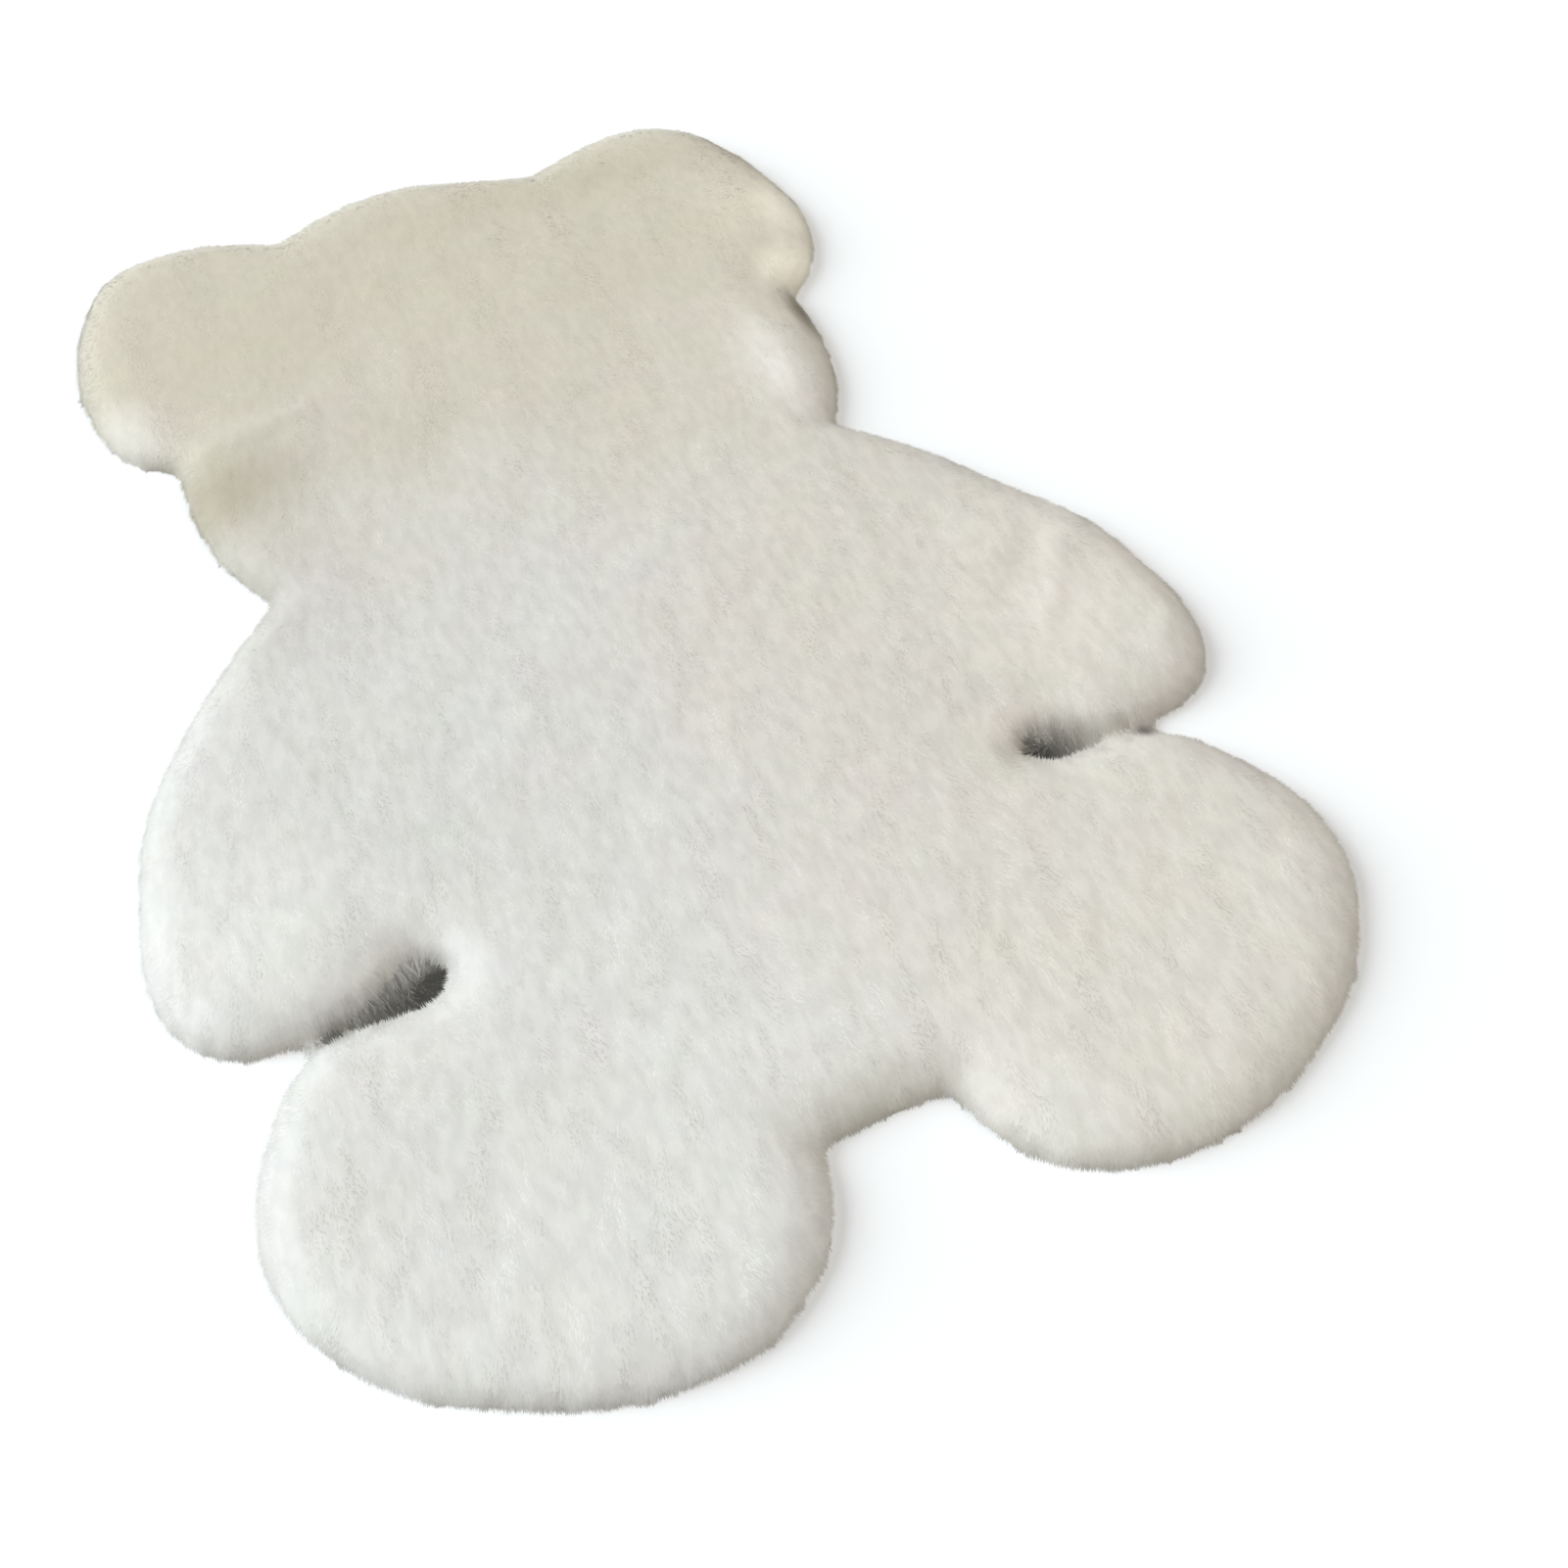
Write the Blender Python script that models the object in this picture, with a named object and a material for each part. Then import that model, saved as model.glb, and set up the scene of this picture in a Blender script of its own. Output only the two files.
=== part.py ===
"""A bear-shaped plush rug, lying flat: one cut piece of pile cloth, made as one solid.

Units are metres. The rug rests on z = 0 and +Y runs from its feet to its head. The origin is on the
floor, under the middle of the rug's box.
"""

import math

import bmesh
import bpy
from mathutils import Matrix, Vector

# Driving dimensions.
rug_length = 1.000          # soles to crown
tips_height = 0.021         # backing and pile together, floor to tips
cut_edge_height = 0.002     # the cloth's own cut edge, upright before the pile rolls over it
edge_roll = 0.029           # how far in from the outline the pile reaches its full height
roll_steps = 6              # facets across that roll
steps_per_span = 8          # straight steps between two points of the outline
plush_colour = (0.80, 0.79, 0.75)

# Half of the outline, on the +X side, from the crown round to the crotch, in shares of rug_length:
# "out" from the middle line and "up" from the soles. A "round" point lets the curve run on smoothly,
# and a "corner" is a notch where two lobes meet. The other side is the mirror image, moved out by
# "left_out" and up by "left_up", because the rug was cut a little unevenly.
outline_columns = ("name", "out", "up", "kind", "left_out", "left_up")
outline_rows = (
    ("crown",              0.000, 0.999, "round",  0.000,  0.000),
    ("crown side",         0.052, 0.986, "round",  0.004,  0.006),
    ("crown to ear",       0.104, 0.970, "corner", 0.007, -0.002),
    ("ear, inner top",     0.142, 0.986, "round",  0.000, -0.004),
    ("ear, top",           0.192, 0.998, "round", -0.012, -0.007),
    ("ear, shoulder",      0.240, 0.985, "round",  0.002, -0.006),
    ("ear, outer upper",   0.275, 0.932, "round", -0.002,  0.000),
    ("ear, outer",         0.291, 0.874, "round", -0.003,  0.000),
    ("ear, widest",        0.295, 0.830, "round", -0.006,  0.000),
    ("ear, lobe",          0.276, 0.772, "round", -0.002,  0.000),
    ("ear to cheek",       0.244, 0.738, "corner", -0.003, -0.001),
    ("cheek",              0.244, 0.695, "round", -0.002,  0.000),
    ("jaw",                0.233, 0.637, "round",  0.000,  0.000),
    ("neck",               0.210, 0.590, "corner", 0.001, -0.002),
    ("shoulder",           0.250, 0.548, "round",  0.001,  0.000),
    ("upper arm",          0.302, 0.471, "round",  0.008,  0.001),
    ("elbow",              0.326, 0.436, "round",  0.002,  0.000),
    ("forearm",            0.341, 0.384, "round",  0.000,  0.000),
    ("paw, widest",        0.347, 0.334, "round",  0.000,  0.000),
    ("paw, corner",        0.334, 0.289, "round",  0.002,  0.000),
    ("paw, end",           0.303, 0.265, "round",  0.000, -0.002),
    ("slit mouth, arm",    0.270, 0.260, "round",  0.000,  0.001),
    ("slit, arm side",     0.234, 0.267, "round",  0.000,  0.003),
    ("slit end, arm",      0.205, 0.284, "round",  0.000,  0.003),
    ("slit end",           0.187, 0.276, "round",  0.003, -0.001),
    ("slit end, leg",      0.196, 0.263, "round",  0.002, -0.003),
    ("slit, leg side",     0.232, 0.260, "round",  0.000, -0.002),
    ("slit mouth, leg",    0.270, 0.254, "round",  0.000,  0.000),
    ("thigh",              0.303, 0.221, "round",  0.000,  0.000),
    ("leg, widest",        0.329, 0.146, "round", -0.003,  0.000),
    ("heel",               0.303, 0.080, "round", -0.001,  0.000),
    ("sole, outer",        0.240, 0.028, "round",  0.000,  0.002),
    ("sole",               0.150, 0.003, "round", -0.022, -0.003),
    ("toe",                0.077, 0.022, "round",  0.002, -0.005),
    ("foot, inner",        0.048, 0.056, "round", -0.002, -0.003),
    ("crotch corner",      0.038, 0.086, "corner", 0.000,  0.000),
    ("crotch",             0.000, 0.089, "round",  0.000,  0.000),
)


def clear_scene():
    for thing in list(bpy.data.objects):
        bpy.data.objects.remove(thing, do_unlink=True)


def outline_points():
    """The whole outline as (place, kind): down the +X side from the crown, and back up the other."""
    rows = [dict(zip(outline_columns, row)) for row in outline_rows]
    right = [(Vector((row["out"], row["up"], 0)), row["kind"]) for row in rows]
    left = [
        (Vector((-row["out"] - row["left_out"], row["up"] + row["left_up"], 0)), row["kind"])
        for row in rows[1:-1]
    ]
    return [(place * rug_length, kind) for place, kind in right + left[::-1]]


def outline_curve():
    """A filled 2D curve along the outline, as thick as the cut edge and standing on the floor."""
    curve = bpy.data.curves.new("rug_outline", "CURVE")
    curve.dimensions = "2D"
    curve.fill_mode = "BOTH"
    curve.resolution_u = steps_per_span
    curve.extrude = cut_edge_height / 2
    points = outline_points()
    spline = curve.splines.new("BEZIER")
    spline.bezier_points.add(len(points) - 1)
    spline.use_cyclic_u = True
    handle_of = {"round": "AUTO", "corner": "VECTOR"}
    for knot, (place, kind) in zip(spline.bezier_points, points):
        knot.co = place
        knot.handle_left_type = handle_of[kind]
        knot.handle_right_type = handle_of[kind]
    outline = bpy.data.objects.new("rug_outline", curve)
    outline.location.z = cut_edge_height / 2
    return outline


def mesh_of(curve_object, collection):
    """The curve as a mesh in world space. The curve itself is removed."""
    collection.objects.link(curve_object)
    graph = bpy.context.evaluated_depsgraph_get()
    mesh = bpy.data.meshes.new_from_object(curve_object.evaluated_get(graph))
    mesh.transform(curve_object.matrix_world)
    bpy.data.objects.remove(curve_object, do_unlink=True)
    return mesh


def single_face(cloth, up):
    """Joins the faces that look up (or down, with up at -1) into one face, and returns it."""
    faces = [face for face in cloth.faces if face.normal.z * up > 0.99]
    return bmesh.ops.dissolve_faces(cloth, faces=faces)["region"][0]


def roll_the_edge(cloth, top):
    """Raises the top in steps along a quarter ellipse, drawing it in from the outline as it rises."""
    rise = tips_height - cut_edge_height
    for step in range(roll_steps):
        start = math.pi / 2 * step / roll_steps
        end = math.pi / 2 * (step + 1) / roll_steps
        bmesh.ops.inset_region(
            cloth,
            faces=[top],
            thickness=edge_roll * (math.cos(start) - math.cos(end)),
            depth=rise * (math.sin(end) - math.sin(start)),
            use_even_offset=True,
        )


def centre_on_origin(mesh):
    """Moves the mesh so that the origin lies under the middle of its box."""
    along_x = [vertex.co.x for vertex in mesh.vertices]
    along_y = [vertex.co.y for vertex in mesh.vertices]
    middle = Vector((min(along_x) + max(along_x), min(along_y) + max(along_y), 0)) / 2
    mesh.transform(Matrix.Translation(-middle))


def plush_material():
    material = bpy.data.materials.new("plush")
    material.use_nodes = True
    shader = material.node_tree.nodes["Principled BSDF"]
    shader.inputs["Base Color"].default_value = (*plush_colour, 1)
    shader.inputs["Roughness"].default_value = 0.95
    shader.inputs["Metallic"].default_value = 0
    return material


def bear_rug(collection):
    """The rug: the flat outline, with its top raised and rolled down to the cut edge all round."""
    mesh = mesh_of(outline_curve(), collection)
    mesh.name = "bear_rug"
    cloth = bmesh.new()
    cloth.from_mesh(mesh)
    bmesh.ops.remove_doubles(cloth, verts=cloth.verts, dist=0.00001)
    bmesh.ops.recalc_face_normals(cloth, faces=cloth.faces)
    single_face(cloth, -1)
    roll_the_edge(cloth, single_face(cloth, 1))
    cloth.to_mesh(mesh)
    cloth.free()
    centre_on_origin(mesh)
    mesh.materials.clear()
    mesh.materials.append(plush_material())
    mesh.shade_smooth()
    mesh.set_sharp_from_angle(angle=math.radians(50))
    rug = bpy.data.objects.new("bear_rug", mesh)
    collection.objects.link(rug)
    return rug


def main():
    clear_scene()
    collection = bpy.data.collections.new("bear_shaped_rug")
    bpy.context.scene.collection.children.link(collection)
    bear_rug(collection)


main()
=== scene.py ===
import math

import bpy
import numpy as np
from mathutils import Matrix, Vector
from mathutils.kdtree import KDTree


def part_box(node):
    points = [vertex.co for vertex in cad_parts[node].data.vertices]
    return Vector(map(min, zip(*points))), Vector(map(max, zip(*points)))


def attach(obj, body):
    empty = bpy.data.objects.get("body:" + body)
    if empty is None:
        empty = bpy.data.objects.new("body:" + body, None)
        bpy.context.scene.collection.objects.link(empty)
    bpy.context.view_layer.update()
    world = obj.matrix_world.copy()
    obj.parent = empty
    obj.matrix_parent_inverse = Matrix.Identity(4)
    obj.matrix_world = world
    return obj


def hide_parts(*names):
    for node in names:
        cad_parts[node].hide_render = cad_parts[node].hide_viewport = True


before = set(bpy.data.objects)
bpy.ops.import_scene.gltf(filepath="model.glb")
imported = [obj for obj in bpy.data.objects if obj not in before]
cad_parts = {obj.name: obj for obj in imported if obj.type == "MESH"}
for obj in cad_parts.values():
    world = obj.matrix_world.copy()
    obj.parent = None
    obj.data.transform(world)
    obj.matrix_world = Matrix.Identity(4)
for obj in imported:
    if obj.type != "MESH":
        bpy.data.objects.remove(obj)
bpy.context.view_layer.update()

# A white plush rug cut to a bear's outline, lying flat with its feet towards -Y.
# The solid of the rug reaches to the tips of the pile. Here the cloth lies a little
# inside it, and the pile grows from the cloth out to where the solid ends.

rugLow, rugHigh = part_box("bear_rug")
rugHeight = rugHigh.z
feet = rugLow.y          # heights up the bear are measured from here


def deselectAll():
    bpy.ops.object.select_all(action="DESELECT")


def makeActive(piece):
    deselectAll()
    piece.select_set(True)
    bpy.context.view_layer.objects.active = piece


def applyModifiers(piece):
    makeActive(piece)
    for modifier in list(piece.modifiers):
        bpy.ops.object.modifier_apply(modifier=modifier.name)


def readVertices(mesh, what):
    values = np.empty(len(mesh.vertices) * 3, np.float32)
    mesh.vertices.foreach_get(what, values)
    return values.reshape(-1, 3).astype(float)


def writePoints(mesh, places):
    mesh.vertices.foreach_set("co", places.astype(np.float32).ravel())
    mesh.update()


smallest = 1e-9              # keeps divisions from 0


def unit(vectors):
    return vectors / np.maximum(np.linalg.norm(vectors, axis=1), smallest)[:, None]


def smoothStep(low, high, value):
    t = np.clip((value - low) / (high - low), 0, 1)
    return t * t * (3 - 2 * t)


noise = {
    "side": 512,             # random heights each way, and then they repeat
    "start": 200,            # cells from their corner to the middle of the rug
    "probe": 0.1,            # of a cell, either way, to tell the slope
}


def softNoise(x, y, cell, seed):
    # soft random heights from -1 to 1, about one bump to a cell
    side = noise["side"]
    heights = np.random.default_rng(seed).uniform(-1, 1, (side, side))
    u, v = x / cell + noise["start"], y / cell + noise["start"]
    i, j = np.floor(u).astype(int), np.floor(v).astype(int)
    s, t = smoothStep(0, 1, u - i), smoothStep(0, 1, v - j)
    i, j, iNext, jNext = i % side, j % side, (i + 1) % side, (j + 1) % side
    nearRow = heights[i, j] * (1 - s) + heights[iNext, j] * s
    farRow = heights[i, jNext] * (1 - s) + heights[iNext, jNext] * s
    return nearRow * (1 - t) + farRow * t


def noiseSlope(x, y, cell, seed):
    # which way softNoise rises, and how fast in bumps a cell
    step = cell * noise["probe"]
    across = softNoise(x + step, y, cell, seed) - softNoise(x - step, y, cell, seed)
    along = softNoise(x, y + step, cell, seed) - softNoise(x, y - step, cell, seed)
    return across / (2 * noise["probe"]), along / (2 * noise["probe"])


tint = {
    "cool": (0.698, 0.678, 0.637, 1),    # arms, body and legs towards the left, in painted cool light
    "cream": (0.672, 0.628, 0.556, 1),   # and towards the right, in painted creamy light
    "warm": (0.609, 0.557, 0.445, 1),    # the head, warmer and darker as painted shade
    "creamFrom": -0.16,                  # across the middle line
    "creamTo": 0.16,
    "warmFrom": 0.46,                    # up from the feet
    "warmTo": 0.86,
    "drift": 0.20,                       # how unevenly they meet
    "driftScale": 7.0,
    "driftDetail": 3.0,
    "blush": 0.045,                      # faint drifts of hue
    "blushScale": 24.0,
    "blushDetail": 2.0,
    "mottle": 0.20,                      # flecks along the nap
    "headMottle": 0.60,                  # of that on the head
    "mottleSize": 0.0070,                # across the nap
    "streakSize": 0.015,                 # and along it
    "mottleDetail": 1.5,
    "mottleFrom": 0.3,
    "mottleTo": 0.7,
    "fleck": 0.6,                        # the darkest fleck, of the colour round it
    "shadeTop": 0.0175,                  # painted shade: below this the pile is darker, by up to shade
    "shade": 0.50,
    "low": (0.270, 0.238, 0.190, 1),     # the painted shade's colour where it is darkest
    "paintedShade": (0.028, 0.026, 0.020, 1),    # painted shade at the foot of the slits
}

# soft ovals of painted light and shade, from the middle line and up from the feet: half sizes, and
# what the colour is multiplied by at the middle. Lighter ones are painted highlights on rims, cheek,
# ear, hands, legs and over the slits; darker ones are painted shade in hollows, folds, between the feet
# and at the slit mouths, and the crown is darker
paintedLightAndShade = {
    "legs": {"place": (0.0, 0.02), "size": (0.80, 0.38), "times": (1.080, 1.085, 1.085)},
    "between feet": {"place": (0.0, 0.095), "size": (0.080, 0.040), "times": (0.88, 0.88, 0.85)},
    "left hand": {"place": (-0.290, 0.330), "size": (0.110, 0.130), "times": (1.12, 1.13, 1.13)},
    "right hand": {"place": (0.270, 0.380), "size": (0.120, 0.130), "times": (1.11, 1.10, 1.09)},
    "over left slit": {"place": (-0.212, 0.285), "size": (0.045, 0.018), "times": (1.20, 1.20, 1.20)},
    "over right slit": {"place": (0.184, 0.292), "size": (0.050, 0.024), "times": (1.20, 1.20, 1.21)},
    "right arm hollow": {"place": (0.260, 0.402), "size": (0.055, 0.045), "times": (0.92, 0.91, 0.91)},
    "left cheek": {"place": (-0.230, 0.690), "size": (0.110, 0.072), "times": (0.71, 0.68, 0.59)},
    "left jaw": {"place": (-0.212, 0.580), "size": (0.090, 0.110), "times": (0.85, 0.83, 0.82)},
    "left chin": {"place": (-0.110, 0.700), "size": (0.180, 0.060), "times": (0.96, 0.95, 0.92)},
    "right cheek": {"place": (0.190, 0.650), "size": (0.042, 0.110), "times": (1.22, 1.23, 1.30)},
    "right cheek rim": {"place": (0.236, 0.708), "size": (0.014, 0.044), "times": (0.36, 0.32, 0.27)},
    "left ear rim": {"place": (-0.274, 0.765), "size": (0.060, 0.070), "times": (1.19, 1.23, 1.32)},
    "right ear rim": {"place": (0.290, 0.805), "size": (0.050, 0.120), "times": (1.50, 1.53, 1.60)},
    "right ear": {"place": (0.247, 0.850), "size": (0.060, 0.070), "times": (1.12, 1.12, 1.11)},
    "right ear foot": {"place": (0.257, 0.755), "size": (0.050, 0.045), "times": (1.62, 1.64, 1.66)},
    "crown": {"place": (0.120, 0.935), "size": (0.200, 0.055), "times": (0.93, 0.92, 0.89)},
    "left slit mouth": {"place": (-0.253, 0.2585), "size": (0.016, 0.011), "times": (0.40, 0.39, 0.37)},
    "right slit mouth": {"place": (0.263, 0.2545), "size": (0.012, 0.011), "times": (0.12, 0.11, 0.10)},
}


def newNode(tree, kind, **settings):
    node = tree.nodes.new(kind)
    for name, value in settings.items():
        setattr(node, name, value)
    return node


def setSockets(node, values):
    for name, value in values.items():
        node.inputs[name].default_value = value


def feed(tree, socket, given):
    # a socket takes either another node's output or a fixed value
    if isinstance(given, bpy.types.NodeSocket):
        tree.links.new(given, socket)
    else:
        socket.default_value = given


def mixColour(tree, factor, first, second):
    mix = newNode(tree, "ShaderNodeMix", data_type="RGBA")
    colourA, colourB = (s for s in mix.inputs if s.type == "RGBA")
    for socket, given in ((mix.inputs[0], factor), (colourA, first), (colourB, second)):
        feed(tree, socket, given)
    return next(s for s in mix.outputs if s.type == "RGBA")


def mapRange(tree, value, low, high, top):
    spread = newNode(tree, "ShaderNodeMapRange", interpolation_type="SMOOTHSTEP")
    setSockets(spread, {"From Min": low, "From Max": high, "To Max": top})
    tree.links.new(value, spread.inputs["Value"])
    return spread.outputs["Result"]


def calculate(tree, operation, *values, kind="ShaderNodeMath"):
    result = newNode(tree, kind, operation=operation)
    for socket, given in zip(result.inputs, values):
        feed(tree, socket, given)
    return result.outputs[0]


def calculateColour(tree, operation, *values):
    return calculate(tree, operation, *values, kind="ShaderNodeVectorMath")


def noiseTexture(tree, place, scale, detail):
    texture = newNode(tree, "ShaderNodeTexNoise")
    setSockets(texture, {"Scale": scale, "Detail": detail})
    tree.links.new(place, texture.inputs["Vector"])
    return texture


def tonedPlace(tree, place, colour, spot):
    # multiplies the colour in one soft oval: painted light where it is lighter, painted shade where it
    # is darker
    (x, y), (wide, high) = spot["place"], spot["size"]
    lie = newNode(tree, "ShaderNodeMapping", vector_type="TEXTURE")
    setSockets(lie, {"Location": (x, feet + y, 0), "Scale": (wide, high, 1)})
    tree.links.new(place, lie.inputs["Vector"])
    far = newNode(tree, "ShaderNodeVectorMath", operation="LENGTH")
    tree.links.new(lie.outputs[0], far.inputs[0])
    inside = mapRange(tree, far.outputs["Value"], 1.0, 0.0, 1.0)
    return mixColour(tree, inside, colour, calculateColour(tree, "MULTIPLY", colour, spot["times"]))


def regionTint(group, place, spots):
    # painted light and shade: a body cool to the left and creamy to the right and a warmer, darker
    # head, meeting unevenly, with the painted ovals over them
    drift = tint["drift"]
    clouds = noiseTexture(group, place, tint["driftScale"], tint["driftDetail"]).outputs["Fac"]
    wander = calculate(group, "MULTIPLY_ADD", clouds, drift, -drift / 2)
    parts = newNode(group, "ShaderNodeSeparateXYZ")
    group.links.new(place, parts.inputs[0])
    across = calculate(group, "ADD", parts.outputs["X"], wander)
    height = calculate(group, "ADD", parts.outputs["Y"], wander)
    creamShare = mapRange(group, across, tint["creamFrom"], tint["creamTo"], 1.0)
    headShare = mapRange(group, height, feet + tint["warmFrom"], feet + tint["warmTo"], 1.0)
    body = mixColour(group, creamShare, tint["cool"], tint["cream"])
    colour = mixColour(group, headShare, body, tint["warm"])
    for spot in spots:
        colour = tonedPlace(group, place, colour, spot)
    return colour, headShare, parts.outputs["Z"]


def blushed(group, place, colour):
    blush = tint["blush"]
    hues = noiseTexture(group, place, tint["blushScale"], tint["blushDetail"]).outputs["Color"]
    faint = calculateColour(group, "MULTIPLY_ADD", hues, [blush] * 3, [1 - blush / 2] * 3)
    return calculateColour(group, "MULTIPLY", colour, faint)


def mottled(group, place, colour, headShare, amount):
    # flecks drawn out along the nap, fainter on the head
    lie = newNode(group, "ShaderNodeMapping")
    lie.inputs["Scale"].default_value = (1, tint["mottleSize"] / tint["streakSize"], 1)
    group.links.new(place, lie.inputs["Vector"])
    size, detail = tint["mottleSize"], tint["mottleDetail"]
    fleck = noiseTexture(group, lie.outputs[0], 1 / size, detail).outputs["Fac"]
    calm = calculate(group, "MULTIPLY_ADD", headShare, tint["headMottle"] - 1, 1.0)
    strength = mapRange(group, fleck, tint["mottleFrom"], tint["mottleTo"], 1.0)
    strength = calculate(group, "MULTIPLY", strength, amount)
    strength = calculate(group, "MULTIPLY", strength, calm)
    darker = calculateColour(group, "MULTIPLY", colour, [tint["fleck"]] * 3)
    return mixColour(group, strength, colour, darker), fleck


def plushTintGroup():
    # the pile's colour over the rug, with painted light and shade: darker towards the floor and in the
    # slits as painted shade
    group = bpy.data.node_groups.new("plushTint", "ShaderNodeTree")
    newSocket = group.interface.new_socket
    newSocket("Place", in_out="INPUT", socket_type="NodeSocketVector")
    newSocket("PaintedShade", in_out="INPUT", socket_type="NodeSocketFloat")
    newSocket("Mottle", in_out="INPUT", socket_type="NodeSocketFloat")
    newSocket("Colour", in_out="OUTPUT", socket_type="NodeSocketColor")
    newSocket("Fleck", in_out="OUTPUT", socket_type="NodeSocketFloat")
    given = newNode(group, "NodeGroupInput").outputs
    place = given["Place"]

    colour, headShare, height = regionTint(group, place, paintedLightAndShade.values())
    colour = blushed(group, place, colour)
    colour, fleck = mottled(group, place, colour, headShare, given["Mottle"])
    # painted shade towards the floor, then the painted shade of the slits and the roots
    low = mapRange(group, height, tint["shadeTop"], 0.0, tint["shade"])
    colour = mixColour(group, low, colour, tint["low"])
    colour = mixColour(group, given["PaintedShade"], colour, tint["paintedShade"])

    result = newNode(group, "NodeGroupOutput")
    group.links.new(colour, result.inputs["Colour"])
    group.links.new(fleck, result.inputs["Fleck"])
    return group


tintGroup = plushTintGroup()


def newMaterial(name, finish):
    material = bpy.data.materials.new(name)
    material.use_nodes = True
    shader = next(n for n in material.node_tree.nodes if n.type == "BSDF_PRINCIPLED")
    setSockets(shader, finish)
    return material, material.node_tree, shader


def objectPlace(tree):
    return newNode(tree, "ShaderNodeTexCoord").outputs["Object"]


def addBump(tree, shader, height, bump):
    node = newNode(tree, "ShaderNodeBump")
    setSockets(node, bump)
    tree.links.new(height, node.inputs["Height"])
    tree.links.new(node.outputs["Normal"], shader.inputs["Normal"])


# matt fibres with a soft sheen
fibre = {"Roughness": 0.85, "Specular IOR Level": 0.2, "Sheen Weight": 0.25, "Sheen Roughness": 0.5}
groundBump = {"Strength": 0.25, "Distance": 0.001}


def fibreMaterial(name, bump=None):
    # the fibres, or with a bump the dense pile under their tips
    material, tree, shader = newMaterial(name, fibre)
    plush = newNode(tree, "ShaderNodeGroup", node_tree=tintGroup)
    plush.inputs["Mottle"].default_value = tint["mottle"]
    tree.links.new(objectPlace(tree), plush.inputs["Place"])
    paintedShade = newNode(tree, "ShaderNodeAttribute", attribute_name="paintedShade")
    tree.links.new(paintedShade.outputs["Fac"], plush.inputs["PaintedShade"])
    tree.links.new(plush.outputs["Colour"], shader.inputs["Base Color"])
    if bump:
        addBump(tree, shader, plush.outputs["Fleck"], bump)
    return material


backing = {
    "colour": (0.62, 0.60, 0.55, 1),
    "dark": (0.50, 0.485, 0.44, 1),
    "yarn": 0.0016,
    "band": 0.314,           # how far apart a wave texture's bands are at scale 1
    "distortion": 0.6,
    "detail": 1.0,           # of the distortion
    "finish": {"Roughness": 0.9},
    "bump": {"Strength": 0.4, "Distance": 0.0004},
}


def backingMaterial():
    # the woven cloth underneath
    material, tree, shader = newMaterial("wovenBacking", backing["finish"])
    place = objectPlace(tree)
    yarns = []
    for direction in ("X", "Y"):
        wave = newNode(tree, "ShaderNodeTexWave", bands_direction=direction)
        setSockets(wave, {"Scale": backing["band"] / backing["yarn"],
                          "Distortion": backing["distortion"], "Detail": backing["detail"]})
        tree.links.new(place, wave.inputs["Vector"])
        yarns.append(wave.outputs["Fac"])
    weave = calculate(tree, "MULTIPLY", *yarns)
    colour = mixColour(tree, weave, backing["dark"], backing["colour"])
    tree.links.new(colour, shader.inputs["Base Color"])
    addBump(tree, shader, weave, backing["bump"])
    return material


pileColour = fibreMaterial("plushFibre")
groundColour = fibreMaterial("plushGround", groundBump)
backColour = backingMaterial()
print("finishes made")


cloth = {
    "merge": 0.00001,        # corners this near are one
    "voxel": 0.005,
    "topDrop": 0.0018,       # the tips stand this far above it
    "sideInset": 0.0022,     # and this far out from its rim
    "rim": 0.0005,           # below this height the solid meets the floor
    "crown": 0.15,           # how much lower it lies towards its rim
    "crownReach": 0.055,
    "waveFrom": 0.4,         # of its height, where waves and creases start
    "waveTo": 0.95,
    "wave": 0.0005,          # wide unevenness of the top
    "waveSize": 0.085,
    "waveSeed": 11,
    "dimple": 0.00012,       # and smaller
    "dimpleSize": 0.022,
    "dimpleSeed": 12,
    "creaseWander": 0.006,   # how unevenly the creases run
    "creaseWanderSize": 0.030,
    "creaseSeeds": (13, 14),
    "backFacing": -0.9,      # faces turned down further than this are backing
}

# soft ridges and troughs as it lies: each runs through places given from the middle
# line and up from the feet, rises or sinks this much and is about twice spread wide
creases = {
    "right side": {
        "rise": 0.0007, "spread": 0.0075,
        "way": [(0.166, 0.660), (0.176, 0.56), (0.172, 0.47), (0.160, 0.38)]},
    "right arm": {
        "rise": 0.0009, "spread": 0.0065,
        "way": [(0.296, 0.412), (0.272, 0.385), (0.245, 0.345)]},
    "right hand": {
        "rise": 0.0009, "spread": 0.0060,
        "way": [(0.328, 0.326), (0.310, 0.308)]},
    "right arm hollow": {
        "rise": -0.0009, "spread": 0.0130,
        "way": [(0.280, 0.430), (0.240, 0.385)]},
    "left arm": {
        "rise": 0.0007, "spread": 0.0065,
        "way": [(-0.236, 0.475), (-0.222, 0.430)]},
    "left ear fold": {
        "rise": 0.0014, "spread": 0.0100,
        "way": [(-0.262, 0.724), (-0.205, 0.742), (-0.140, 0.750)]},
    "right ear fold": {
        "rise": 0.0010, "spread": 0.0070,
        "way": [(0.240, 0.724), (0.190, 0.742)]},
    "right cheek": {
        "rise": 0.0007, "spread": 0.0100,
        "way": [(0.196, 0.725), (0.204, 0.680), (0.196, 0.630)]},
    "right leg": {
        "rise": 0.0007, "spread": 0.0065,
        "way": [(0.268, 0.222), (0.240, 0.190)]},
    "right thigh": {
        "rise": 0.0007, "spread": 0.0070,
        "way": [(0.165, 0.160), (0.136, 0.118)]},
    "left foot": {
        "rise": 0.0008, "spread": 0.0060,
        "way": [(-0.214, 0.082), (-0.196, 0.078)]},
    "left slit rim": {
        "rise": 0.0010, "spread": 0.0080,
        "way": [(-0.176, 0.296), (-0.168, 0.268)]},
}
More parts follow.
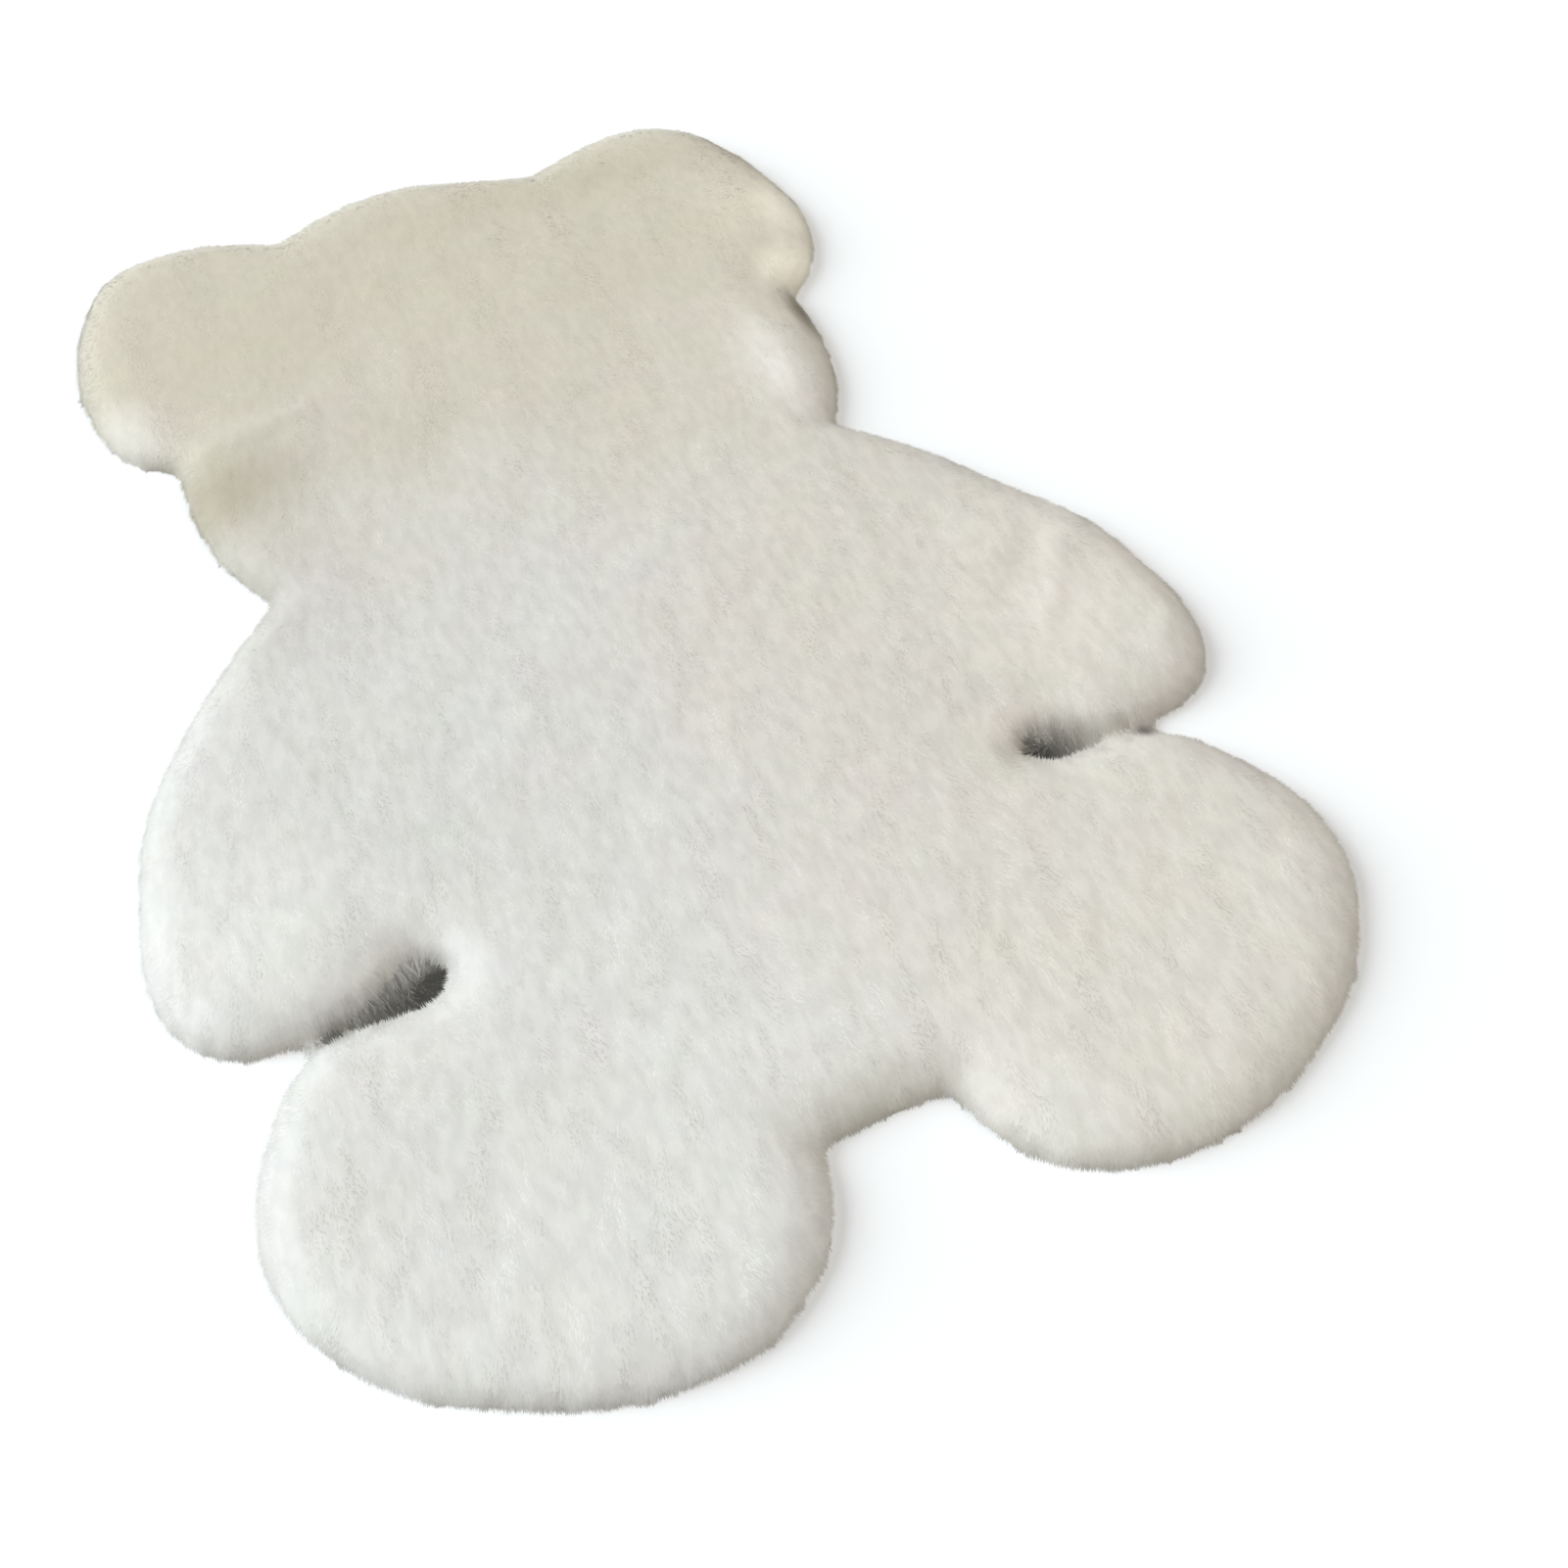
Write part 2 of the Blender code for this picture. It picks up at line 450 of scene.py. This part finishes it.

# the two slits between arm and leg, from the inner end outwards, and how dark the pile is
# at their foot as painted shade, at shares of that way
slitWays = {
    "left": {
        "from": (-0.204, 0.272), "to": (-0.262, 0.259),
        "dark": [(0.0, 0.96), (0.3, 0.94), (0.45, 0.86), (0.8, 0.81), (1.0, 0.74)]},
    "right": {
        "from": (0.200, 0.272), "to": (0.256, 0.260),
        "dark": [(0.0, 0.99), (0.04, 0.95), (0.18, 0.85), (0.36, 0.66), (0.54, 0.42),
                 (0.75, 0.32), (1.0, 0.44)]},
}
slits = {
    "reach": 0.022,          # pile this near can hang into a slit
    "facing": 0.35,          # from faces that look at it this squarely, where 1 is square on
    "darkReach": 0.026,      # and this near can be darkened with painted shade
    "fadeFrom": 0.7,         # of darkReach
    "fadePast": 1.15,        # of a slit's way, beyond its outer end
    "armTop": 0.017,         # on the arm's side below this height
    "legTop": 0.005,         # and on the leg's side below this
    "turn": (-0.45, 0.35),   # how the way to a slit points, from the arm's side to the leg's
    "core": (0.003, 0.007),  # this near its middle line, all of it is the arm's side
    "armDark": 0.24,         # share of the painted shade on the sides
    "armPale": 0.78,         # how much less there is on the floor beside the arm
    "paleFrom": 0.005,       # starting this far on the leg's side
    "paleReach": 0.030,      # and how far that takes to come about
    "streak": 0.0080,        # by which dark and pale strands change places
    "streakSize": 0.0021,    # how wide a clump of strands is
    "streakSqueeze": 0.15,   # its width over its length
    "streakSeed": 41,
    "singleStreak": 0.4,     # how much single strands differ besides
    "paler": 0.09,           # and how much paler a clump can be
}


def distanceToWay(x, y, way):
    nearest = np.full(len(x), 1.0)
    for (x0, y0), (x1, y1) in zip(way, way[1:]):
        dx, dy = x1 - x0, y1 - y0
        share = np.clip(((x - x0) * dx + (y - y0) * dy) / (dx * dx + dy * dy), 0, 1)
        nearest = np.minimum(nearest, np.hypot(x - x0 - share * dx, y - y0 - share * dy))
    return nearest


def creaseRise(x, y):
    wander, size = cloth["creaseWander"], cloth["creaseWanderSize"]
    acrossSeed, upSeed = cloth["creaseSeeds"]
    up = y - feet + wander * softNoise(x, y, size, upSeed)
    x = x + wander * softNoise(x, y, size, acrossSeed)
    rise = np.zeros(len(x))
    for crease in creases.values():
        far = distanceToWay(x, up, crease["way"])
        rise += crease["rise"] * np.exp(-(far / crease["spread"]) ** 2)
    return rise


def towardsSlit(x, y):
    # how far the nearest slit is, the level way to it, how far along it that is, and how dark its
    # painted shade is
    up = y - feet
    far = np.full(len(x), 1.0)
    ways, along, dark = np.zeros((len(x), 2)), np.zeros(len(x)), np.zeros(len(x))
    for slit in slitWays.values():
        (x0, y0), (x1, y1) = slit["from"], slit["to"]
        dx, dy = x1 - x0, y1 - y0
        share = ((x - x0) * dx + (up - y0) * dy) / (dx * dx + dy * dy)
        met = np.clip(share, 0, 1)
        way = np.stack([x0 + met * dx - x, y0 + met * dy - up], 1)
        farFromThis = np.linalg.norm(way, axis=1)
        nearer = farFromThis < far
        far = np.where(nearer, farFromThis, far)
        ways[nearer] = way[nearer]
        along = np.where(nearer, share, along)
        dark = np.where(nearer, np.interp(share, *zip(*slit["dark"])), dark)
    ways = ways / np.maximum(far, smallest)[:, None]
    return {"far": far, "way": ways, "along": along, "dark": dark}


def slitDepth(x, y, z):
    # painted shade: 0 on open pile, rising down the sides of a slit
    slit = towardsSlit(x, y)
    near = 1 - smoothStep(slits["fadeFrom"], 1.0, slit["far"] / slits["darkReach"])
    near *= 1 - smoothStep(1.0, slits["fadePast"], slit["along"])
    legSide = smoothStep(*slits["turn"], slit["way"][:, 1])
    legSide *= smoothStep(*slits["core"], slit["far"])
    top = slits["armTop"] + legSide * (slits["legTop"] - slits["armTop"])
    low = 1 - smoothStep(0.0, 1.0, z / top)
    return slits["armDark"] * slit["dark"] * near * low


def slitFloorDepth(places, shift):
    # painted shade on the floor of a slit: darkest beside the leg
    slit = towardsSlit(places[:, 0], places[:, 1])
    armward = (shift + slits["paleFrom"] - slit["way"][:, 1] * slit["far"]) / slits["paleReach"]
    return slit["dark"] * (1 - slits["armPale"] * np.clip(armward, 0, 1))


def rimFinder(mesh):
    # the edge of the solid where it meets the floor, for measuring how far in a place is
    places = readVertices(mesh, "co")
    rim = places[places[:, 2] < cloth["rim"], :2]
    tree = KDTree(len(rim))
    for number, place in enumerate(rim):
        tree.insert((*place, 0), number)
    tree.balance()
    return lambda x, y: np.array([tree.find((a, b, 0))[2] for a, b in zip(x, y)])


def setPaintedShade(mesh, places, shadeShare=0):
    # painted shade: how far each point's colour goes to the dark one
    paintedShade = mesh.attributes.new("paintedShade", "FLOAT", "POINT")
    depth = slitDepth(*places.T)
    paintedShade.data.foreach_set("value", np.maximum(depth, shadeShare).astype(np.float32))


def laidPlaces(mesh, rimDistance):
    # the even faces drawn in from the tips, crowned, waved and creased
    places, normals = readVertices(mesh, "co"), readVertices(mesh, "normal")
    x, y, z = places.T
    topShare = smoothStep(cloth["waveFrom"], cloth["waveTo"], z / rugHeight)
    crown = cloth["crown"] * (1 - smoothStep(0, cloth["crownReach"], rimDistance(x, y)))
    z = np.clip(z, 0, None) * (rugHeight - cloth["topDrop"]) / rugHeight * (1 - crown)
    wave = cloth["wave"] * softNoise(x, y, cloth["waveSize"], cloth["waveSeed"])
    dimple = cloth["dimple"] * softNoise(x, y, cloth["dimpleSize"], cloth["dimpleSeed"])
    z = z + topShare * (wave + dimple + creaseRise(x, y))
    x = x - normals[:, 0] * cloth["sideInset"]
    y = y - normals[:, 1] * cloth["sideInset"]
    return np.stack([x, y, z], 1)


def makeCloth():
    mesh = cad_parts["bear_rug"].data.copy()
    mesh.name = "rugCloth"
    piece = bpy.data.objects.new("rugCloth", mesh)
    bpy.context.scene.collection.objects.link(piece)
    makeActive(piece)
    bpy.ops.object.mode_set(mode="EDIT")
    bpy.ops.mesh.select_all(action="SELECT")
    bpy.ops.mesh.remove_doubles(threshold=cloth["merge"])
    bpy.ops.mesh.normals_make_consistent(inside=False)
    bpy.ops.object.mode_set(mode="OBJECT")
    rimDistance = rimFinder(piece.data)
    remesh = piece.modifiers.new("evenFaces", "REMESH")
    remesh.mode = "VOXEL"
    remesh.voxel_size = cloth["voxel"]
    applyModifiers(piece)

    places = laidPlaces(piece.data, rimDistance)
    writePoints(piece.data, places)
    setPaintedShade(piece.data, places)

    piece.data.materials.clear()
    for material in (groundColour, backColour):
        piece.data.materials.append(material)
    turned = np.empty(len(piece.data.polygons) * 3, np.float32)
    piece.data.polygons.foreach_get("normal", turned)
    below = turned.reshape(-1, 3)[:, 2] < cloth["backFacing"]
    piece.data.polygons.foreach_set("material_index", below.astype(np.int32))
    makeActive(piece)
    bpy.ops.object.shade_smooth()
    return piece


rugCloth = makeCloth()
print("cloth made", len(rugCloth.data.polygons), "faces")


# how all the pile lies and catches the light
nap = {
    "thickness": 0.4,        # of a fibre's width
    "sunk": 0.0005,          # roots below the surface
    "swirl": 22,             # degrees by which it wanders over the rug
    "swirlSize": 0.075,
    "swirlSeed": 21,
    "eddy": 0.6,             # of swirl, in smaller turns
    "eddySize": 0.014,
    "eddySeed": 22,
    "stray": 10,             # degrees by which single fibres stray from it
    "liftSpread": 3,         # degrees by which they lift unevenly, one by one
    "liftWave": 5,           # and together
    "liftWaveSize": 0.009,
    "liftWaveSeed": 23,
    "steep": (0.12, 0.55),   # slopes between which it turns from lying along to hanging down
    "hangNap": 0.25,         # how much of it is left there
    "hangSway": 0.3,         # how far hanging fibres stray, from side to side
    "roll": 2.5,             # degrees by which fibres turn about themselves
    "gather": 0.0007,        # how far tips draw together
    "gatherAtBend": 0.5,     # of that, where they have a bend
    "gatherSize": 0.0065,
    "gatherSeed": 24,
    "bendAt": 0.55,          # of a fibre's length, where it droops from
    "bendWidth": 0.75,       # of its width there
    "ruffleEach": 0.012,     # how much single fibres catch the light
    "ruffleMost": 0.20,      # and the steepest that tufts tilt
    "tuftDrift": 0.008,      # how far rows of tufts wander sideways
    "tuftDriftSeed": 26,
    "tuftSeed": 30,
    "floorGap": 0.0003,
}
# small and larger tufts that lie along the nap: size across and along it, how much they tilt,
# and the share of that on the head
tufts = [
    {"wide": 0.0028, "long": 0.007, "slope": 0.032, "head": 0.30},
    {"wide": 0.0060, "long": 0.012, "slope": 0.125, "head": 0.28},
    {"wide": 0.0130, "long": 0.022, "slope": 0.175, "head": 0.55},
    {"wide": 0.0280, "long": 0.045, "slope": 0.130, "head": 1.40},
]


def readSurface(piece):
    mesh = piece.data
    mesh.calc_loop_triangles()
    corners = np.empty(len(mesh.loop_triangles) * 3, np.int32)
    mesh.loop_triangles.foreach_get("vertices", corners)
    corners = corners.reshape(-1, 3)
    places, normals = readVertices(mesh, "co"), readVertices(mesh, "normal")
    a, b, c = (places[corners[:, k]] for k in range(3))
    cross = np.cross(b - a, c - a)
    area = np.linalg.norm(cross, axis=1) / 2
    return {"corners": corners, "places": places, "normals": normals, "area": area,
            "middle": (a + b + c) / 3, "facing": unit(cross)}


surface = readSurface(rugCloth)
facingUp = {"top": 0.9, "edge": -0.35}       # each from here, where 1 is straight up
upward = surface["facing"][:, 2] > facingUp["top"]
roundEdge = ~upward & (surface["facing"][:, 2] > facingUp["edge"])


def scatterRoots(wanted, count, rng):
    # evenly spread places on the faces that are wanted, with the surface's normal there
    reach = np.cumsum(surface["area"] * wanted)
    at = (np.arange(count) + rng.random(count)) / count * reach[-1]
    face = np.minimum(np.searchsorted(reach, at), len(reach) - 1)
    u, v = rng.random((2, count, 1))
    over = u + v > 1
    u, v = np.where(over, 1 - u, u), np.where(over, 1 - v, v)
    corners = surface["corners"][face]

    def blend(values):
        a, b, c = (values[corners[:, k]] for k in range(3))
        return a + u * (b - a) + v * (c - a)

    return blend(surface["places"]), unit(blend(surface["normals"]))


def combFibres(roots, normals, liftDegrees, rng):
    # which way each fibre leans: with the nap on top, and down the slope round the edge
    x, y = roots[:, 0], roots[:, 1]
    count = len(roots)
    swirl = nap["swirl"] * softNoise(x, y, nap["swirlSize"], nap["swirlSeed"])
    eddies = nap["eddy"] * nap["swirl"] * softNoise(x, y, nap["eddySize"], nap["eddySeed"])
    turn = np.radians(swirl + eddies + nap["stray"] * rng.standard_normal(count))
    flat = np.stack([np.sin(turn), -np.cos(turn), np.zeros(count)], 1)
    down = np.stack([np.zeros(count), np.zeros(count), np.full(count, -1.0)], 1)
    down = down + normals * normals[:, 2:3]
    steep = smoothStep(*nap["steep"], np.linalg.norm(down, axis=1))[:, None]
    sway = nap["hangSway"] * (rng.random((count, 3)) - 0.5)
    comb = flat * (1 - steep) ** 2 + (unit(down) + nap["hangNap"] * flat + sway) * steep
    comb = unit(comb - normals * (comb * normals).sum(1)[:, None])
    uneven = nap["liftSpread"] * rng.standard_normal(count)
    waves = nap["liftWave"] * softNoise(x, y, nap["liftWaveSize"], nap["liftWaveSeed"])
    lift = np.radians(liftDegrees + uneven + waves)[:, None]
    return unit(comb * np.cos(lift) + normals * np.sin(lift))


def tuftSlope(x, y):
    # how the tips tilt over the tufts
    wandered = x + nap["tuftDrift"] * softNoise(x, y, nap["swirlSize"], nap["tuftDriftSeed"])
    onHead = smoothStep(tint["warmFrom"], tint["warmTo"], y - feet)
    slope = np.zeros((len(x), 3))
    for number, tuft in enumerate(tufts):
        squeeze = tuft["wide"] / tuft["long"]
        seed = nap["tuftSeed"] + number
        across, along = noiseSlope(wandered, y * squeeze, tuft["wide"], seed)
        tilt = tuft["slope"] * (1 - (1 - tuft["head"]) * onHead)
        slope[:, 0] += tilt * across
        slope[:, 1] += tilt * along * squeeze
    return nap["ruffleMost"] * np.tanh(slope / nap["ruffleMost"])


def keepAboveFloor(places):
    places[:, 2] = np.maximum(places[:, 2], nap["floorGap"])
    return places


def strandRing(middle, side, up, width):
    # three corners round a fibre, flat side up
    half = width[:, None] / 2
    return [middle + side * half, middle - side * half, middle - up * half * 2 * nap["thickness"]]


def strandFaces(rings):
    # a closed blade: its root, its sides from ring to ring, and three faces up to the tip
    tip = 3 * rings
    last = tip - 3
    faces = [(0, 2, 1), (last + 1, tip, last), (last, tip, last + 2), (last + 2, tip, last + 1)]
    if rings == 2:
        for here, there in ((0, 2), (2, 1), (1, 0)):
            faces += [(here, there + 3, there), (here, here + 3, there + 3)]
    return np.array(faces)


def strandColumns(strands, kind, rng):
    # every fibre's corners from its root to its tip, with a bend where the kind droops
    normals, aims, widths = strands["normals"], strands["aims"], strands["widths"]
    roots = strands["roots"] - normals * nap["sunk"]
    length = strands["lengths"][:, None]
    side = unit(np.cross(normals, aims))
    roll = np.radians(rng.normal(0, nap["roll"], (len(roots), 1)))
    up = np.cross(aims, side)
    side, up = side * np.cos(roll) + up * np.sin(roll), up * np.cos(roll) - side * np.sin(roll)
    gatherX, gatherY = noiseSlope(roots[:, 0], roots[:, 1], nap["gatherSize"], nap["gatherSeed"])
    pull = np.stack([gatherX, gatherY, np.zeros(len(roots))], 1) * nap["gather"]
    columns = strandRing(roots, side, up, widths)
    if "droop" in kind:
        at, gathered = nap["bendAt"], nap["gatherAtBend"]
        bent = unit(aims + np.array([0, 0, -kind["droop"]]))
        middle = roots + aims * length * at + pull * gathered
        columns += strandRing(middle, side, up, widths * nap["bendWidth"])
        columns.append(middle + bent * length * (1 - at) + pull * (1 - gathered))
    else:
        columns.append(roots + aims * length + pull)
    return [keepAboveFloor(column) for column in columns]


def growPile(name, kind, strands, rng, shadeShare=0.0):
    # small closed blades joined in one piece, darker at the root as painted shade where the kind says
    # so
    columns = strandColumns(strands, kind, rng)
    count, size = len(strands["roots"]), len(columns)
    places = np.stack(columns, 1).reshape(-1, 3)
    corners = np.arange(count)[:, None, None] * size + strandFaces(size // 3)
    ruffled = strands["normals"] + nap["ruffleEach"] * rng.standard_normal((count, 3))
    sheen = unit(np.repeat(ruffled, size, axis=0) + tuftSlope(places[:, 0], places[:, 1]))
    shades = np.zeros((count, size)) + shadeShare
    shades[:, :3] += kind.get("rootShade", 0.0) * rng.random((count, 1))
    return meshFromArrays(name, places, corners.reshape(-1, 3), sheen, shades.ravel())


def meshFromArrays(name, places, corners, sheen, shadeShare):
    mesh = bpy.data.meshes.new(name)
    mesh.vertices.add(len(places))
    mesh.vertices.foreach_set("co", places.astype(np.float32).ravel())
    mesh.loops.add(corners.size)
    mesh.loops.foreach_set("vertex_index", corners.astype(np.int32).ravel())
    mesh.polygons.add(len(corners))
    mesh.polygons.foreach_set("loop_start", np.arange(0, corners.size, 3, dtype=np.int32))
    mesh.update(calc_edges=True)
    # seen from above, so that a fibre takes the colour of the place where it lies
    seen = places[corners.ravel(), :2]
    seen = (seen - places[:, :2].min(0)) / np.ptp(places[:, :2], axis=0)
    layer = mesh.uv_layers.new(name="OFBake")
    layer.uv.foreach_set("vector", seen.astype(np.float32).ravel())
    mesh.materials.append(pileColour)
    setPaintedShade(mesh, places, shadeShare)
    piece = bpy.data.objects.new(name, mesh)
    bpy.context.scene.collection.objects.link(piece)
    # dense pile is lit as the surface that its tips make together, so fibre doesn't shade fibre
    piece.visible_shadow = False
    piece.visible_diffuse = False
    makeActive(piece)
    bpy.ops.object.shade_smooth()
    mesh.normals_split_custom_set_from_vertices(sheen.astype(np.float32))
    return piece


def layStrands(kind, wanted, rng):
    roots, normals = scatterRoots(wanted, kind["strands"], rng)
    aims = combFibres(roots, normals, kind["lift"], rng)
    lengths = kind["length"] * rng.uniform(*kind["lengths"], len(roots))
    widths = kind["width"] * rng.uniform(*kind["widths"], len(roots))
    return {"roots": roots, "normals": normals, "aims": aims, "lengths": lengths, "widths": widths}


# each kind of pile: strands in a piece, and the ranges that lengths and widths are drawn from
topPile = {
    "seed": 100,
    "strands": 45000,
    "length": 0.0056,
    "lengths": (0.8, 1.15),
    "width": 0.00095,
    "widths": (0.75, 1.2),
    "lift": 17,              # degrees from the surface
    "rootShade": 0.10,       # painted shade: how dark roots can be beside their tips
}


def topPieces():
    # the flat top in three pieces of about the same area, from the feet up
    up = surface["middle"][:, 1]
    order = np.argsort(up)
    share = np.cumsum((surface["area"] * upward)[order])
    share /= share[-1]
    legTop, bodyTop = (up[order][np.searchsorted(share, at)] for at in (1 / 3, 2 / 3))
    return {"legPile": upward & (up < legTop),
            "bodyPile": upward & (up >= legTop) & (up < bodyTop),
            "headPile": upward & (up >= bodyTop)}


pilePieces = []
for number, (name, wanted) in enumerate(topPieces().items()):
    rng = np.random.default_rng(topPile["seed"] + number)
    pilePieces.append(growPile(name, topPile, layStrands(topPile, wanted, rng), rng))
print("top pile made")


edgePile = {
    "seed": 110,
    "strands": 45000,
    "length": 0.0062,
    "lengths": (0.75, 1.15),
    "width": 0.00095,
    "widths": (0.7, 1.1),
    "lift": 16,
    "rootShade": 0.14,
}
edgeFringe = {
    "seed": 111,
    "strands": 9000,
    "length": 0.0066,
    "lengths": (0.6, 1.2),
    "width": 0.00045,
    "widths": (0.7, 1.1),
    "lift": 20,
    "droop": 0.4,            # how strongly it bends down
    "height": 0.008,         # roots below this
    "rootShade": 0.30,
}


def makeEdgePile():
    rng = np.random.default_rng(edgePile["seed"])
    return growPile("edgePile", edgePile, layStrands(edgePile, roundEdge, rng), rng)


def makeEdgeFringe():
    rng = np.random.default_rng(edgeFringe["seed"])
    low = roundEdge & (surface["middle"][:, 2] < edgeFringe["height"])
    return growPile("edgeFringe", edgeFringe, layStrands(edgeFringe, low, rng), rng)


pilePieces += [makeEdgePile(), makeEdgeFringe()]
print("edge pile made")


slitPile = {
    "seed": 112,
    "strands": 2800,
    "length": 0.0130,
    "lengths": (0.5, 1.1),
    "width": 0.0007,
    "widths": (0.7, 1.1),
    "lift": 24,
    "droop": 0.8,
    "side": -0.2,            # where the way to the slit points further down than this
    "shadeShare": 0.85,            # of the painted shade on the floor below
    "shadeShareAt": (0, 0.5, 1),   # of that at the root, bend and tip
}
slitRim = {
    "seed": 114,
    "strands": 700,
    "length": 0.0060,
    "lengths": (0.5, 1.1),
    "width": 0.0005,
    "widths": (0.7, 1.1),
    "lift": 50,
    "droop": 0.2,
    "side": 0.3,             # where the way to the slit points further up than this
    "height": 0.008,         # roots above this
}
slitShadeMat = {
    "seed": 113,
    "strands": 5500,
    "length": 0.0240,
    "lengths": (0.55, 1.0),
    "width": 0.0013,
    "widths": (0.7, 1.1),
    "sway": 0.22,            # how far strands stray sideways, of their length
    "dip": 0.10,             # and down, at most
    "droop": 0.0,
    "height": 0.005,         # roots below this
}


bentCorners = (3, 3, 1)      # at a drooping strand's root, bend and tip


def slitShades(strands, rng):
    # painted shade: how dark strands over a slit are at each corner: they come in darker and paler
    # clumps
    roots, reach = strands["roots"], strands["aims"] * strands["lengths"][:, None]
    squeezed = roots[:, 1] * slits["streakSqueeze"]
    streaks = softNoise(roots[:, 0], squeezed, slits["streakSize"], slits["streakSeed"])
    streaks += slits["singleStreak"] * rng.standard_normal(len(roots))
    shift = slits["streak"] * streaks
    depths = [slitFloorDepth(roots + reach * share, shift) for share in (0, nap["bendAt"], 1)]
    shades = np.repeat(np.stack(depths, 1), bentCorners, axis=1)
    return shades * (1 - slits["paler"] * np.clip(streaks, 0, 1))[:, None]


def acrossSlit(roots, rng):
    # out over the floor of a slit, far enough to reach its other side
    slit = towardsSlit(roots[:, 0], roots[:, 1])
    sway = slitShadeMat["sway"] * rng.standard_normal((len(roots), 2))
    dip = -slitShadeMat["dip"] * rng.random(len(roots))
    lengths = np.minimum(2 * slit["far"], slitShadeMat["length"])
    lengths = lengths * rng.uniform(*slitShadeMat["lengths"], len(roots))
    return unit(np.column_stack([slit["way"] + sway, dip])), lengths


# the faces round each slit that look into it
nearSlit = towardsSlit(*surface["middle"][:, :2].T)
pointsUp = nearSlit["way"][:, 1]
facesSlit = (surface["facing"][:, :2] * nearSlit["way"]).sum(1) > slits["facing"]
aroundSlit = roundEdge & facesSlit & (nearSlit["far"] < slits["reach"]) & (nearSlit["along"] < 1.0)


def makeSlitPile():
    # longer pile that hangs in from the arm's side, darker towards its tip as painted shade
    rng = np.random.default_rng(slitPile["seed"])
    strands = layStrands(slitPile, aroundSlit & (pointsUp < slitPile["side"]), rng)
    shadeShare = slitPile["shadeShare"] * slitShades(strands, rng) * np.repeat(slitPile["shadeShareAt"], bentCorners)
    return growPile("slitPile", slitPile, strands, rng, shadeShare)


def makeSlitRim():
    # short pile along the top of the leg's side
    rng = np.random.default_rng(slitRim["seed"])
    high = surface["middle"][:, 2] > slitRim["height"]
    strands = layStrands(slitRim, aroundSlit & (pointsUp > slitRim["side"]) & high, rng)
    return growPile("slitRim", slitRim, strands, rng)


def makeSlitShadeMat():
    # flat pile over the floor of the slits, coloured dark as painted shade, lit as the floor is
    rng = np.random.default_rng(slitShadeMat["seed"])
    low = surface["middle"][:, 2] < slitShadeMat["height"]
    roots = scatterRoots(aroundSlit & low, slitShadeMat["strands"], rng)[0]
    aims, lengths = acrossSlit(roots, rng)
    widths = slitShadeMat["width"] * rng.uniform(*slitShadeMat["widths"], len(roots))
    upright = np.tile((0.0, 0.0, 1.0), (len(roots), 1))
    strands = {"roots": roots, "normals": upright, "aims": aims, "lengths": lengths, "widths": widths}
    return growPile("slitShadeMat", slitShadeMat, strands, rng, slitShades(strands, rng))


pilePieces += [makeSlitPile(), makeSlitRim(), makeSlitShadeMat()]
print("slit pile made")


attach(rugCloth, "root")
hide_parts("bear_rug")
for piece in pilePieces:
    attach(piece, "root")


studio = {
    "floorSide": 12.0,
    "floor": {"Base Color": (0.97, 0.97, 0.965, 1), "Roughness": 0.9, "Specular IOR Level": 0.1},
    "room": {"Color": (1.0, 0.99, 0.97, 1), "Strength": 0.18},
    "lampDistance": 3.0,
}
# soft lamps: softness and height over the floor in degrees, and degrees round from +X
lamps = {
    "window": {"power": 4.85, "colour": (0.866, 0.943, 1.0), "softness": 50, "height": 20, "from": 154},
    "fill": {"power": 1.63, "colour": (1.0, 0.985, 0.96), "softness": 60, "height": 52, "from": 335},
}
lens = {
    "place": (-0.2006, -0.7183, 0.8177),
    "down": 54.34,           # degrees below level
    "turn": 24.437,          # degrees to the right of +Y
    "focal": 37.33,
    "sensor": 36.0,
    "clip": 0.01,
}


def makeFloor():
    deselectAll()
    bpy.ops.mesh.primitive_plane_add(size=studio["floorSide"], location=(0, 0, 0))
    floor = bpy.context.active_object
    floor.name = "floor"
    floor.data.materials.append(newMaterial("paleFloor", studio["floor"])[0])


def makeRoom():
    world = bpy.data.worlds.new("room")
    world.use_nodes = True
    setSockets(next(n for n in world.node_tree.nodes if n.type == "BACKGROUND"), studio["room"])
    bpy.context.scene.world = world


def makeLamp(name, lamp):
    light = bpy.data.lights.new(name, "SUN")
    light.energy = lamp["power"]
    light.color = lamp["colour"]
    light.angle = math.radians(lamp["softness"])
    holder = bpy.data.objects.new(name, light)
    height, around = math.radians(lamp["height"]), math.radians(lamp["from"])
    level = math.cos(height)
    towards = Vector((level * math.cos(around), level * math.sin(around), math.sin(height)))
    holder.location = towards * studio["lampDistance"]
    holder.rotation_euler = towards.to_track_quat("Z", "Y").to_euler()
    bpy.context.scene.collection.objects.link(holder)


def makeCamera():
    camera = bpy.data.objects.new("camera", bpy.data.cameras.new("camera"))
    camera.location = lens["place"]
    camera.rotation_euler = (math.radians(90 - lens["down"]), 0, -math.radians(lens["turn"]))
    camera.data.lens = lens["focal"]
    camera.data.sensor_width = lens["sensor"]
    camera.data.clip_start = lens["clip"]
    bpy.context.scene.collection.objects.link(camera)
    bpy.context.scene.camera = camera


makeFloor()
makeRoom()
for name, lamp in lamps.items():
    makeLamp(name, lamp)
makeCamera()
bpy.context.scene.view_settings.view_transform = "Standard"
print("studio made")
